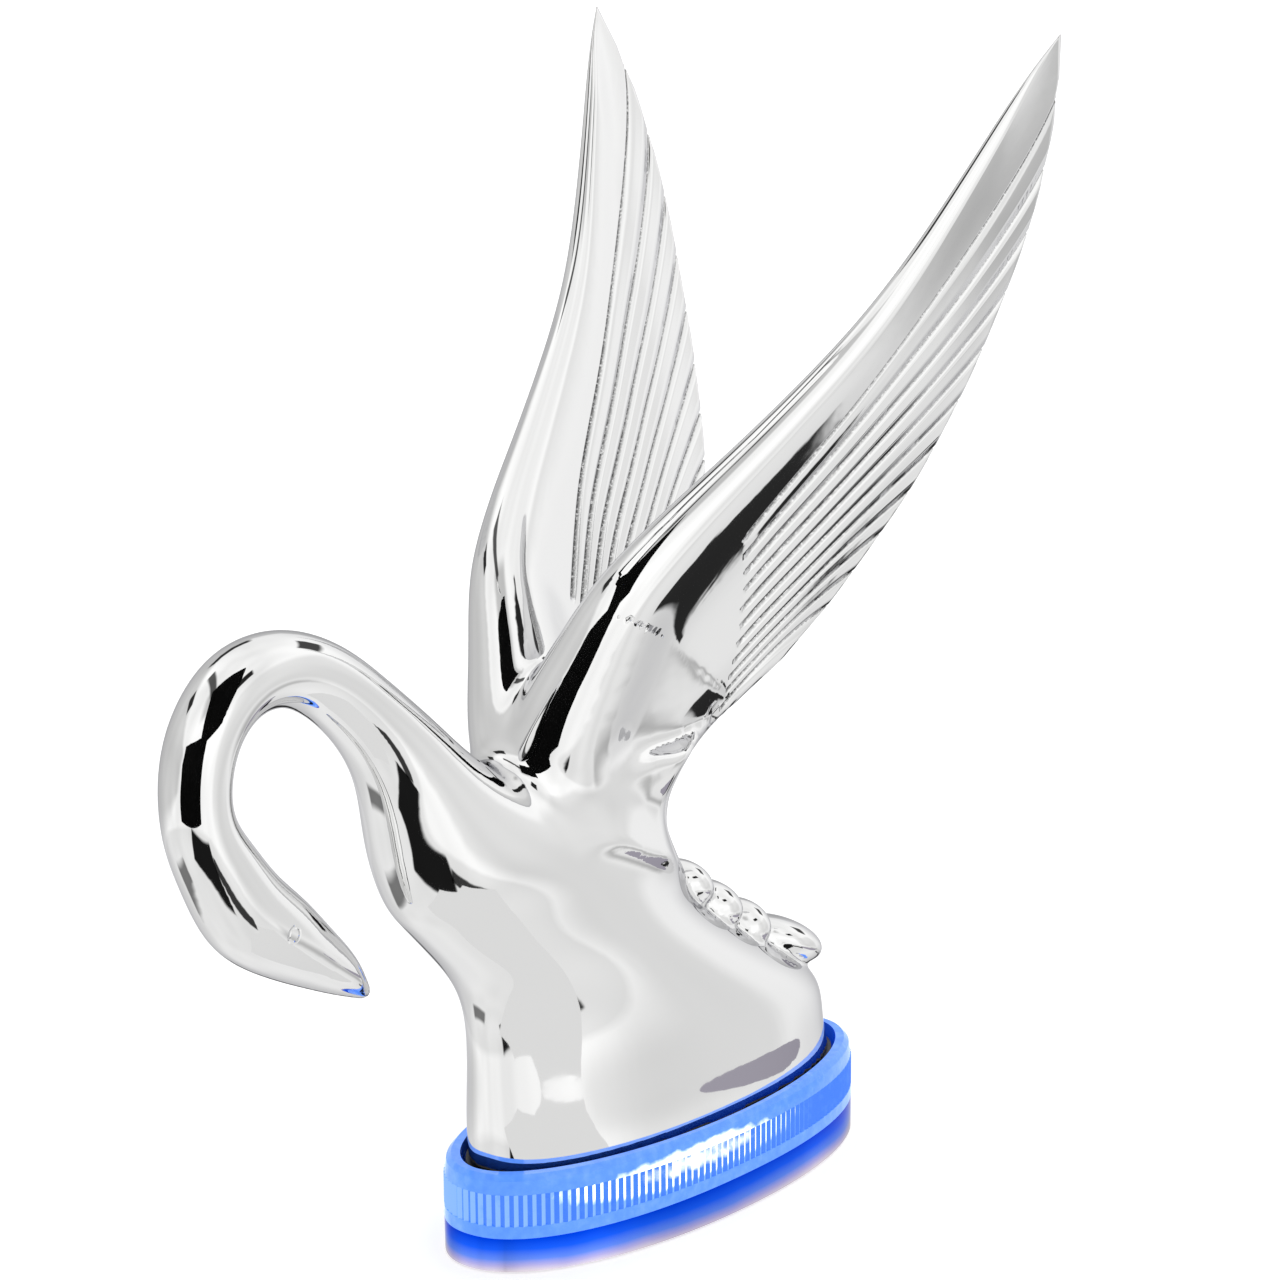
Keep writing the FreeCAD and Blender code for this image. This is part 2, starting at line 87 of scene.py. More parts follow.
LAST_GROOVE = [(9.7, 95.1), (15.6, 101.6), (21.4, 106.7), (27.0, 110.2), (32.3, 112.9)]
LAST_GROOVE_END = 112.7        # height where the lowest groove leaves the wing
TIP_END = 221.8                # height where the leading edge's lane does
GROOVE_DEPTH = 0.85
GROOVE_SHARE = 0.52            # a groove never takes more of the half thickness than this
FEATHER_ROUND = 1.25           # how far the trailing edge draws back between two feathers
LEAD_START = 0.27              # share of the leading edge below the fine wing mesh
TRAIL_START = 0.175            # the same share of the trailing edge

# centre (y, z), half sizes across, along, thick, tilt: feather tips that step down the rump
TAIL_FEATHERS = [
    ((8.5, 58.8), (6.8, 6.0, 4.4), -38),
    ((16.0, 52.5), (8.0, 6.4, 5.0), -32),
    ((25.4, 46.1), (7.8, 5.9, 5.3), -30),
    ((38.6, 39.7), (9.3, 9.9, 4.5), -26),
]

# reach of the soft joins
WING_BLEND = 3.0
BODY_BLEND = 7.0
TAIL_BLEND = 1.2
TIP_BLEND = 0.8

# blending grid: step, first corner, number of places, width of the exact band in steps
VOXEL = 0.9
LOW = np.array([-33.0, -132.0, 12.0])
SIZE = np.array([74, 214, 165])
BAND = 10

# join between the blended body and the fine wing mesh
SEAM_FLOOR = 88.0              # the body keeps everything below this height
SEAM_GAP = 1.3
SHORTEST_BORDER = 40           # edges; smaller holes of the blended mesh are not wing roots
RELAX_TURNS = 12
SEAM_FADE = 12.0               # the wing takes on the blended surface over this distance
FOOT_TOP = 20.0                # the flat foot below this height stays as it is

# rendering camera, metres, and its lens in millimetres
CAMERA_PLACE = (0.451245, -0.547334, 0.283724)
CAMERA_RIGHT = (0.77068, 0.63717, -0.00758)
CAMERA_UP = (-0.14681, 0.18912, 0.97092)
CAMERA_BACK = (0.62007, -0.74716, 0.23930)
SENSOR = 36.0
LENS = 108.54


# ---------------------------------------------------------------- small maths
def spline(stops, rows, at):
    """Natural cubic spline through rows at the given stops."""
    t = np.asarray(stops, float)
    y = np.asarray(rows, float).reshape(len(t), -1)
    h = np.diff(t)
    a = np.eye(len(t))
    b = np.zeros_like(y)
    for i in range(1, len(t) - 1):
        a[i, i - 1] = h[i - 1]
        a[i, i] = 2 * (h[i - 1] + h[i])
        a[i, i + 1] = h[i]
        b[i] = 6 * ((y[i + 1] - y[i]) / h[i] - (y[i] - y[i - 1]) / h[i - 1])
    m = np.linalg.solve(a, b)
    at = np.clip(np.asarray(at, float), t[0], t[-1])
    k = np.clip(np.searchsorted(t, at) - 1, 0, len(h) - 1)
    w = ((at - t[k]) / h[k])[:, None]
    hk = h[k][:, None]
    v = 1 - w
    return v * y[k] + w * y[k + 1] + hk ** 2 / 6 * ((v ** 3 - v) * m[k] + (w ** 3 - w) * m[k + 1])


def along(points, count=None, at=None):
    """Points at equal lengths (or at the given shares) along a smooth curve."""
    points = np.asarray(points, float)
    stops = np.r_[0, np.cumsum(np.linalg.norm(np.diff(points, axis=0), axis=1))]
    fine = spline(stops, points, np.linspace(0, stops[-1], 600))
    length = np.r_[0, np.cumsum(np.linalg.norm(np.diff(fine, axis=0), axis=1))]
    share = np.linspace(0, 1, count) if at is None else np.asarray(at, float)
    return np.stack([np.interp(share * length[-1], length, c) for c in fine.T], axis=1)


def smooth_step(x):
    x = np.clip(x, 0, 1)
    return x * x * (3 - 2 * x)


# ---------------------------------------------------------------- swan: body skin
def body_rows(count):
    """Front, rear, half width and roundness at many places along the swan."""
    rows = [[*front, *rear, width, n] for front, rear, width, n in BODY_RINGS]
    for (y, z), heading, depth, width in NECK_RINGS:
        a = math.radians(heading)
        dy, dz = -math.sin(a) * depth, math.cos(a) * depth
        rows.append([y + dy, z + dz, y - dy, z - dz, width, 2.0])
    rows = np.array(rows)
    centre = (rows[:, :2] + rows[:, 2:4]) / 2
    stops = np.r_[0, np.cumsum(np.linalg.norm(np.diff(centre, axis=0), axis=1))]
    return spline(stops, rows, np.linspace(0, stops[-1], count))


def body_skin(rows=300, around=96):
    """Closed mesh of pedestal, breast, neck, head and beak."""
    data = body_rows(rows)
    angle = np.linspace(0, 2 * np.pi, around, endpoint=False)
    c, s = np.cos(angle), np.sin(angle)
    power = 2.0 / data[:, 5:6]
    u = 0.5 - 0.5 * np.sign(c) * np.abs(c) ** power
    x = data[:, 4:5] * np.sign(s) * np.abs(s) ** power
    y = data[:, 0:1] + (data[:, 2:3] - data[:, 0:1]) * u
    z = data[:, 1:2] + (data[:, 3:4] - data[:, 1:2]) * u
    return capped_tube(np.stack([x, y, z], axis=2))


def capped_tube(rings):
    """Vertices and triangles of a tube of rings, closed at both ends by fans."""
    rows, cols = rings.shape[:2]
    points = rings.reshape(-1, 3)
    grid = np.arange(rows * cols).reshape(rows, cols)
    nxt = np.roll(grid, -1, axis=1)
    a, b, c, d = grid[:-1].ravel(), nxt[:-1].ravel(), nxt[1:].ravel(), grid[1:].ravel()
    tris = [np.stack([a, b, c], 1), np.stack([a, c, d], 1)]
    ends = np.array([rings[0].mean(0), rings[-1].mean(0)])
    first, last = rows * cols, rows * cols + 1
    tris.append(np.stack([nxt[0], grid[0], np.full(cols, first)], 1))
    tris.append(np.stack([grid[-1], nxt[-1], np.full(cols, last)], 1))
    return np.vstack([points, ends]), np.vstack(tris)


# ---------------------------------------------------------------- swan: wings
WING_NORMAL = np.array([1.0, -0.096, -0.347]) / np.linalg.norm([1.0, -0.096, -0.347])
LEAD = along(LEADING_EDGE, 400)
TRAIL = along(TRAILING_EDGE, 400)


def nearest(points, curve):
    """Distance from each point to a finely drawn curve, and the index of the nearest place."""
    best = np.empty(len(points))
    where = np.empty(len(points), int)
    for i in range(0, len(points), 20000):
        gap = points[i:i + 20000, None, :] - curve[None, :, :]
        d = np.einsum("ijk,ijk->ij", gap, gap)
        k = d.argmin(1)
        where[i:i + 20000] = k
        best[i:i + 20000] = np.sqrt(d[np.arange(len(k)), k])
    return best, where


def to_segment(points, curve):
    """Distance to a curve drawn as straight steps."""
    _, k = nearest(points, curve)
    best = None
    for shift in (-1, 0):
        i = np.clip(k + shift, 0, len(curve) - 2)
        a, b = curve[i], curve[i + 1]
        run = b - a
        w = np.clip(((points - a) * run).sum(1) / (run * run).sum(1), 0, 1)
        d = np.linalg.norm(points - a - run * w[:, None], axis=1)
        best = d if best is None else np.minimum(best, d)
    return best, k


def half_thickness(yz):
    """Half thickness of the smooth wing, without grooves."""
    shape = yz.shape[:-1]
    flat = yz.reshape(-1, 2)
    to_lead, k = to_segment(flat, LEAD)
    to_trail, _ = to_segment(flat, TRAIL)
    table = np.array(WING_THICKNESS)
    values = spline(table[:, 0], table[:, 1:], LEAD[k, 1])
    spar, blade, scoop = values.T
    crest = 1.1 * spar
    nose = spar * np.sqrt(np.clip(1 - (1 - np.clip(to_lead / crest, 0, 1)) ** 2, 0, 1))
    back = blade + (spar - blade) * np.exp(-(np.clip(to_lead - crest, 0, None) / scoop) ** 2)
    half = np.where(to_lead < crest, nose, back)
    thin = smooth_step(to_trail / 16.0)
    edge = 0.75 * blade / np.maximum(blade, 1.4)
    half = half * thin + np.minimum(half, edge) * (1 - thin)
    rim = np.clip(to_trail / np.minimum(edge, 0.7), 0, 1)
    return (half * np.sqrt(np.clip(1 - (1 - rim) ** 2, 0, 1))).reshape(shape)


def wing_plane(yz):
    """Middle surface of the left wing, a plane with a slight outward belly."""
    y, z = yz[..., 0], yz[..., 1]
    x = -26.2 + 0.096 * y + 0.347 * z
    belly = 1.3 * np.clip(1 - ((z - 165) / 58) ** 2, 0, 1) ** 2
    return np.stack([x + belly, y, z], axis=-1)


GROOVE_SPOTS = np.array([-0.98, -0.82, -0.55, -0.2, 0.2, 0.55, 0.82, 0.98])   # mm across a groove
GROOVE_CUT = np.array([0.0, 0.1, 0.85, 1.0, 1.0, 0.85, 0.1, 0.0])             # share of its depth


def mesh_columns():
    """Where the mesh lines run: lane, millimetres beside it, share of the groove's depth.
    Lane 0 is the leading edge, lanes 1 to 11 the grooves and lane 12 the trailing edge."""
    lanes = [(t, 0.0, 0.0) for t in (np.linspace(0, 1, 30)[:-1] ** 1.6) * 0.97]
    for g in range(1, GROOVES + 1):
        lanes += [(float(g), mm, cut) for mm, cut in zip(GROOVE_SPOTS, GROOVE_CUT)]
        if g < GROOVES:
            lanes += [(g + step, 0.0, 0.0) for step in (0.36, 0.5, 0.64)]
    lanes += [(11.45, 0.0, 0.0), (11.75, 0.0, 0.0), (12.0, 0.0, 0.0)]
    return np.array(lanes).T


def root_lane(t):
    """Where a lane starts, near the wing's root, before the groove on the outer face does."""
    g = np.clip(t, 1, GROOVES) - 1
    before_start = 2.5 + 2.0 * (GROOVES - 1 - g)
    start_y = 1.8 + 1.35 * g - 0.055 * g ** 2
    start_z = 132.6 - 3.72 * g
    groove = np.stack([start_y - 0.60 * before_start, start_z - 0.80 * before_start], -1)
    lead = along(LEADING_EDGE, at=[LEAD_START])[0]
    trail = along(TRAILING_EDGE, at=[TRAIL_START])[0]
    before = np.clip(t, 0, 1)[:, None]
    groove = np.where(t[:, None] < 1, lead + (groove - lead) * before, groove)
    after = np.clip(t - GROOVES, 0, 1)[:, None]
    return groove + (trail - groove) * after


def groove_end_height(step):
    """Height where a groove leaves the wing; step counts up from the lowest groove."""
    return LAST_GROOVE_END + 6.0 * step + 0.375 * step ** 2


def end_lane(t):
    """Where a lane leaves the wing on its trailing edge."""
    z = groove_end_height(GROOVES - np.clip(t, 1, GROOVES))
    first = groove_end_height(GROOVES - 1)
    z = np.where(t < 1, first + (TIP_END - first) * (1 - t), z)
    trail_z = along(TRAILING_EDGE, at=[TRAIL_START])[0][1]
    z = np.where(t > GROOVES, LAST_GROOVE_END + (trail_z - LAST_GROOVE_END) * (t - GROOVES), z)
    return np.stack([np.interp(z, TRAIL[:, 1], TRAIL[:, 0]), z], -1)


def lane_points(t, s):
    """(y, z) of every lane t at every share s of its length; shape lanes x shares x 2."""
    start, end = root_lane(t)[:, None], end_lane(t)[:, None]
    s = np.asarray(s)[None, :, None]
    straight = start * (1 - s) + end * s

    def bow(curve):
        c = along(curve, at=s.ravel())
        off = c - (c[0] * (1 - s[0]) + c[-1] * s[0])
        return off / np.linalg.norm(c[-1] - c[0])

    lead_part = LEAD[int(LEAD_START * (len(LEAD) - 1)):]
    b0, b1, b11 = bow(lead_part), bow(FIRST_GROOVE), bow(LAST_GROOVE)
    low = np.clip(t, 0, 1)[:, None, None]
    mid = (np.clip(t, 1, GROOVES)[:, None, None] - 1) / (GROOVES - 1)
    high = np.clip(t - GROOVES, 0, 1)[:, None, None]
    shape = (b0 * (1 - low) + b1 * low) * (1 - mid) + b11 * mid
    shape = shape * (1 - high)
    size = np.linalg.norm(end - start, axis=2, keepdims=True)
    return straight + shape * size


def both_faces(yz, lift_outer, lift_inner):
    """Closed rings over the outer face and back along the inner one; input lanes x shares."""
    middle = wing_plane(yz)
    outer = middle + WING_NORMAL * lift_outer[..., None]
    inner = middle - WING_NORMAL * lift_inner[..., None]
    return np.concatenate([outer, inner[-2:0:-1]], axis=0).transpose(1, 0, 2)


def feathered_outline(t, mm, s):
    """(y, z) of the fine wing mesh, its trailing edge rounded into feather tips; also lane lengths."""
    base = lane_points(t, s)
    cross = lane_points(np.clip(t + 0.05, 0, LAST_LANE), s)
    cross -= lane_points(np.clip(t - 0.05, 0, LAST_LANE), s)
    cross /= np.maximum(np.linalg.norm(cross, axis=2, keepdims=True), 1e-6)
    taper = 1.0 - 0.45 * smooth_step(s)
    yz = base + cross * (mm[:, None] * taper[None, :])[..., None]
    run = base[:, -1] - base[:, 0]
    length = np.linalg.norm(run, axis=1)
    phase = t + mm / 7.0
    beside = np.abs(phase - np.round(phase)) * 2
    recess = np.where((t > 0.7) & (t < 11.6), FEATHER_ROUND * np.clip(1 - beside, 0, 1) ** 2.2, 0.0)
    pull = recess[:, None] * smooth_step((s[None, :] * length[:, None] - length[:, None] + 6) / 6)
    return yz - (run / np.maximum(length, 1e-6)[:, None])[:, None, :] * pull[..., None], length


def grooved_wing():
    """Rings of the left wing from just inside the groove ends out to the feather tips."""
    t, mm, cut = mesh_columns()
    s = np.r_[np.linspace(0, 0.06, 8)[:-1], np.linspace(0.06, 0.955, 66), 0.97, 0.982, 0.991, 0.997, 1.0]
    yz, length = feathered_outline(t, mm, s)
    half = half_thickness(yz)
    half[:, -1] = 0.0
    travelled = s[None, :] * length[:, None]
    outer_delay = 2.0 * (GROOVES - np.clip(t, 1, GROOVES))
    lifts, shades = [], []
    for delay in (outer_delay, np.zeros(len(t))):
        open_up = smooth_step((travelled - 2.4 - delay[:, None]) / 0.8)
        depth = np.minimum(GROOVE_DEPTH, GROOVE_SHARE * half) * cut[:, None] * open_up
        crown = 0.10 * np.clip(half, 0, 1) * (cut[:, None] == 0) * (t[:, None] > 1) * open_up
        lifts.append(half - depth + crown)
        shades.append((cut[:, None] * open_up).T)
    rings = both_faces(yz, *lifts)
    shade = np.concatenate([shades[0], shades[1][:, -2:0:-1]], axis=1)
    return rings, shade


def smooth_wing():
    """Rings of the whole left wing without grooves, from inside the body to the tip."""
    t = np.r_[np.linspace(0, 1, 24)[:-1] ** 1.6, np.linspace(1, LAST_LANE, 60)]
    s = np.linspace(0, 1, 90)
    outer_part = lane_points(t, s)
    outer_part[:, -1] = end_lane(t)
    start = root_lane(t)
    lead = along(LEADING_EDGE, at=np.linspace(0, LEAD_START, 50))
    trail = along(TRAILING_EDGE, at=np.linspace(0, TRAIL_START, 50))
    chord = trail[-1] - lead[-1]
    u = ((start - lead[-1]) @ chord / (chord @ chord))[:, None, None]
    bend = start - (lead[-1] * (1 - u[:, 0]) + trail[-1] * u[:, 0])
    share = np.linspace(0, 1, 50)[None, :, None] ** 2
    inner_part = lead[None] * (1 - u) + trail[None] * u + bend[:, None] * share
    yz = np.concatenate([inner_part[:, :-1], outer_part], axis=1)
    half = half_thickness(yz)
    half[:, -1] = 0.02
    return both_faces(yz, half, half)


# ---------------------------------------------------------------- swan: blending as a level set
def field(points, tris):
    """Distance to a closed mesh, in millimetres, on the blending grid."""
    shifted = ((points - LOW) / VOXEL).astype(np.float32)
    grid = vdb.FloatGrid.createLevelSetFromPolygons(
        shifted, triangles=tris.astype(np.uint32), halfWidth=float(BAND))
    values = np.zeros(SIZE, np.float32)
    grid.copyToArray(values, ijk=(0, 0, 0))
    return values * VOXEL


def soft_min(a, b, k):
    h = np.clip(0.5 + 0.5 * (b - a) / k, 0, 1)
    return b + (a - b) * h - k * h * (1 - h)


def ellipsoid_field(centre, semi, tilt):
    """Approximate distance to an ellipsoid turned about X by tilt degrees."""
    axes = [LOW[i] + np.arange(SIZE[i]) * VOXEL for i in range(3)]
    x, y, z = np.meshgrid(*axes, indexing="ij", sparse=True)
    a = math.radians(tilt)
    dy, dz = y - centre[0], z - centre[1]
    v = dy * math.cos(a) + dz * math.sin(a)
    w = -dy * math.sin(a) + dz * math.cos(a)
    k0 = np.sqrt((x / semi[0]) ** 2 + (v / semi[1]) ** 2 + (w / semi[2]) ** 2)
    k1 = np.sqrt((x / semi[0] ** 2) ** 2 + (v / semi[1] ** 2) ** 2 + (w / semi[2] ** 2) ** 2)
    return (k0 * (k0 - 1) / np.maximum(k1, 1e-6)).astype(np.float32)


def sample(values, points):
    """Smooth value of the field at points, from cubic weights over 4 x 4 x 4 grid places."""
    q = (points - LOW) / VOXEL
    i = np.clip(np.floor(q).astype(int), 1, SIZE - 3)
    w = np.clip(q - i, 0, 1)
    inner = 3 * w ** 3 - 6 * w ** 2 + 4
    outer = -3 * w ** 3 + 3 * w ** 2 + 3 * w + 1
    share = np.stack([(1 - w) ** 3, inner, outer, w ** 3]) / 6
    out = np.zeros(len(points))
    for a in range(4):
        for b in range(4):
            flat = share[a, :, 0] * share[b, :, 1]
            for c in range(4):
                out += flat * share[c, :, 2] * values[i[:, 0] + a - 1, i[:, 1] + b - 1, i[:, 2] + c - 1]
    return out


def settle(values, points, share):
    """Moves points on to the zero surface of the field, by a share of the way."""
    e = 0.4
    start = points.copy()
    for _ in range(4):
        f = sample(values, points)
        grad = np.stack([sample(values, points + e * d) - sample(values, points - e * d)
                         for d in np.eye(3)], axis=1) / (2 * e)
        size = np.maximum((grad ** 2).sum(1), 0.2)
        points = points - grad * (f / size)[:, None]
    return start + (points - start) * share[:, None]


def flip_x(points):
    return points * np.array([-1.0, 1.0, 1.0])


def side_of_root(points):
    """Signed distance past the root line of the wing, positive towards the feathers."""
    line = root_lane(np.linspace(0, LAST_LANE, 200))
    flat = points[:, 1:3]
    d, k = nearest(flat, line)
    k = np.clip(k, 1, len(line) - 2)
    run = line[k + 1] - line[k - 1]
    off = flat - line[k]
    return d * np.sign(run[:, 0] * off[:, 1] - run[:, 1] * off[:, 0])


def border_loops(quads):
    """Closed loops of the open edges of a quad mesh."""
    edges = np.concatenate([quads[:, [0, 1]], quads[:, [1, 2]], quads[:, [2, 3]], quads[:, [3, 0]]])
    key = np.sort(edges, axis=1)
    _, first, count = np.unique(key, axis=0, return_index=True, return_counts=True)
    follow = {}
    for a, b in edges[first[count == 1]]:
        follow.setdefault(int(a), []).append(int(b))
    loops = []
    while follow:
        start = next(iter(follow))
        loop = [start]
        here = start
        while here in follow:
            there = follow[here].pop()
            if not follow[here]:
                del follow[here]
            if there == start:
                break
            loop.append(there)
            here = there
        loops.append(loop)
    return loops


def zip_loops(points, a, b):
    """Triangles between two loops that run the same way."""
    a, b = list(a), list(b)
    pa, pb = points[a], points[b]
    k = int(np.argmin(np.linalg.norm(pb - pa[0], axis=1)))
    b = b[k:] + b[:k]
    a, b = a + a[:1], b + b[:1]
    tris = []
    i = j = 0
    while i < len(a) - 1 or j < len(b) - 1:
        step_a = np.inf if i == len(a) - 1 else np.linalg.norm(points[a[i + 1]] - points[b[j]])
        step_b = np.inf if j == len(b) - 1 else np.linalg.norm(points[b[j + 1]] - points[a[i]])
        if step_a <= step_b:
            tris.append((a[i], a[i + 1], b[j]))
            i += 1
        else:
            tris.append((a[i], b[j + 1], b[j]))
            j += 1
    return tris


def relax(points, quads, fixed, times):
    """Evens out the grid noise of the blended surface."""
    edges = np.concatenate([quads[:, [0, 1]], quads[:, [1, 2]], quads[:, [2, 3]], quads[:, [3, 0]]])
    edges = np.unique(np.sort(edges, axis=1), axis=0)
    count = np.bincount(edges.ravel(), minlength=len(points))[:, None]
    for turn in range(times):
        total = np.zeros_like(points)
        for axis in range(3):
            total[:, axis] = (
                np.bincount(edges[:, 0], weights=points[edges[:, 1], axis], minlength=len(points))
                + np.bincount(edges[:, 1], weights=points[edges[:, 0], axis], minlength=len(points)))
        mean = total / np.maximum(count, 1)
        gain = 0.55 if turn % 2 == 0 else -0.5
        points = np.where(fixed[:, None], points, points + gain * (mean - points))
    return points


def blended_swan():
    """Field of the whole swan: body, both wings and the feather tips, softly joined."""
    body = field(*body_skin())
    points, tris = capped_tube(smooth_wing())
    left = field(points, tris)
    right = field(flip_x(points), tris[:, ::-1])
    tail = None
    for centre, half_sizes, tilt in TAIL_FEATHERS:
        tip = ellipsoid_field(centre, half_sizes, tilt)
        tail = tip if tail is None else soft_min(tail, tip, TIP_BLEND)
    swan = soft_min(body, soft_min(left, right, WING_BLEND), BODY_BLEND)
    return soft_min(swan, tail, TAIL_BLEND)


def body_mesh(swan):
    """Points, quads and open borders of the blended surface, without the feathered wing parts."""
    grid = vdb.FloatGrid(float(BAND * VOXEL))
    grid.copyFromArray(np.ascontiguousarray(swan))
    points, quads = grid.convertToQuads(0.0)
    points = np.asarray(points, float) * VOXEL + LOW
    quads = np.asarray(quads, int)
    past = (side_of_root(points) > -SEAM_GAP) & (points[:, 2] > SEAM_FLOOR)
    quads = quads[~past[quads].any(axis=1)]
    used = np.unique(quads)
    remap = np.full(len(points), -1)
    remap[used] = np.arange(len(used))
    points, quads = points[used], remap[quads]
    loops = [loop for loop in border_loops(quads) if len(loop) > SHORTEST_BORDER]
    fixed = np.zeros(len(points), bool)
    for loop in loops:
        fixed[loop] = True
    points = relax(points, quads, fixed, RELAX_TURNS)
    points = settle(swan, points, (points[:, 2] > FOOT_TOP).astype(float))
    return points, quads, loops


def wing_mesh(swan):
    """Grid of points of the left wing, joined smoothly to the blended surface, and its groove mask."""
    rings, shade = grooved_wing()
    reach = np.linalg.norm(rings - rings[:1], axis=2).ravel()
    share = 1 - smooth_step((reach - 1.0) / SEAM_FADE)
    points = rings.reshape(-1, 3)
    near = share > 0
    settled = points.copy()
    settled[near] = settle(swan, points[near], share[near] * (shade.ravel()[near] == 0))
    return settled, shade


def same_way(points, loop, ring):
    """The ring, turned round if it runs against the loop."""
    which = [int(np.argmin(np.linalg.norm(points[ring] - points[v], axis=1))) for v in loop]
    turns = np.diff(which)
    steps = turns[np.abs(turns) < len(ring) / 2]
    return ring[::-1] if np.sum(np.sign(steps)) < 0 else ring


def swan_mesh():
    """Points, faces and a groove mask of the whole casting's outside."""
    swan = blended_swan()
    points, quads, loops = body_mesh(swan)
    faces = [tuple(q) for q in quads]
    mask = [np.zeros(len(points))]
    wing, shade = wing_mesh(swan)
    rows, cols = shade.shape
    for mirror in (False, True):
        offset = len(points)
        points = np.vstack([points, flip_x(wing) if mirror else wing])
        grid_ids = np.arange(rows * cols).reshape(rows, cols) + offset
        nxt = np.roll(grid_ids, -1, axis=1)
        block = np.stack([grid_ids[:-1], nxt[:-1], nxt[1:], grid_ids[1:]], axis=-1).reshape(-1, 4)
        faces += [tuple(q) for q in (block[:, ::-1] if mirror else block)]
        mask.append(shade.ravel())
        loop = max((loop for loop in loops if (points[loop[0], 0] < 0) == mirror), key=len)
        faces += zip_loops(points, loop, same_way(points, loop, list(grid_ids[0])))
    return points, faces, np.concatenate(mask)


# ---------------------------------------------------------------- materials
class Graph:
    """Small helper that adds and links shader nodes."""

    def __init__(self, name):
        self.material = bpy.data.materials.new(name)
        self.material.use_nodes = True
        self.tree = self.material.node_tree
        self.shader = self.tree.nodes["Principled BSDF"]

    def add(self, kind, **settings):
        node = self.tree.nodes.new(kind)
        for key, value in settings.items():
            if key in node.inputs:
                node.inputs[key].default_value = value
            else:
                setattr(node, key, value)
        return node

    def link(self, a, b):
        self.tree.links.new(a, b)

    def place(self):
        return self.add("ShaderNodeTexCoord").outputs["Object"]

    def noise(self, scale, detail=3.0, rough=0.5):
        node = self.add("ShaderNodeTexNoise")
        node.inputs["Scale"].default_value = scale
        node.inputs["Detail"].default_value = detail
        node.inputs["Roughness"].default_value = rough
        self.link(self.place(), node.inputs["Vector"])
        return node.outputs["Fac"]

    def ramp(self, value, stops):
        node = self.add("ShaderNodeValToRGB")
        while len(node.color_ramp.elements) < len(stops):
            node.color_ramp.elements.new(0.5)
        for element, (at, color) in zip(node.color_ramp.elements, stops):
            element.position = at
            element.color = (*color, 1.0) if len(color) == 3 else color
        self.link(value, node.inputs["Fac"])
        return node.outputs["Color"]

    def span(self, value, low, high, from_low=0.0, from_high=1.0):
        node = self.add("ShaderNodeMapRange")
        node.inputs["From Min"].default_value = from_low
        node.inputs["From Max"].default_value = from_high
        node.inputs["To Min"].default_value = low
        node.inputs["To Max"].default_value = high
        self.link(value, node.inputs["Value"])
        return node.outputs["Result"]

    def bump(self, value, strength, distance):
        node = self.add("ShaderNodeBump")
        node.inputs["Strength"].default_value = strength
        node.inputs["Distance"].default_value = distance
        self.link(value, node.inputs["Height"])
        self.link(node.outputs["Normal"], self.shader.inputs["Normal"])

    def math(self, kind, *values):
        node = self.add("ShaderNodeMath", operation=kind)
        for slot, value in enumerate(values):
            if isinstance(value, (int, float)):
                node.inputs[slot].default_value = value
            else:
                self.link(value, node.inputs[slot])
        return node.outputs[0]

    def parts(self, vector):
        node = self.add("ShaderNodeSeparateXYZ")
        self.link(vector, node.inputs[0])
        return node.outputs["X"], node.outputs["Y"], node.outputs["Z"]

    def blend(self, share, first, second):
        """Mixes two colours, each a plain colour or a socket."""
        node = self.add("ShaderNodeMix", data_type="RGBA")
        for value, socket in zip((share, first, second), (node.inputs[0], node.inputs[6], node.inputs[7])):
            if isinstance(value, tuple):
                socket.default_value = (*value, 1.0)
            elif isinstance(value, (int, float)):
                socket.default_value = value
            else:
                self.link(value, socket)
        return node.outputs[2]

    def set(self, **values):
        for key, value in values.items():
            self.shader.inputs[key.replace("_", " ")].default_value = value


def grey(v):
    return (v, v, v)


PLATING = (0.92, 0.92, 0.915)


def chrome(name, low=0.02, high=0.05):
    """Bright plating: faint haze patches, a little darker towards grazing."""
    g = Graph(name)
    g.set(Metallic=1.0, Base_Color=(*PLATING, 1.0), Specular_Tint=(0.62, 0.62, 0.64, 1.0))
    g.link(g.span(g.noise(38.0, 4.0), low, high, 0.35, 0.7), g.shader.inputs["Roughness"])
    return g


def eye_ring(g):
    """Share of the small ring pressed into each side of the head."""
    _, y, z = g.parts(g.place())
    away = g.math("SQRT", g.math("ADD", g.math("POWER", g.math("SUBTRACT", y, -0.1043), 2.0),
                                 g.math("POWER", g.math("SUBTRACT", z, 0.0786), 2.0)))
    off = g.math("ABSOLUTE", g.math("SUBTRACT", away, 0.0014))
    return g.span(off, 1.0, 0.0, 0.0001, 0.0004)


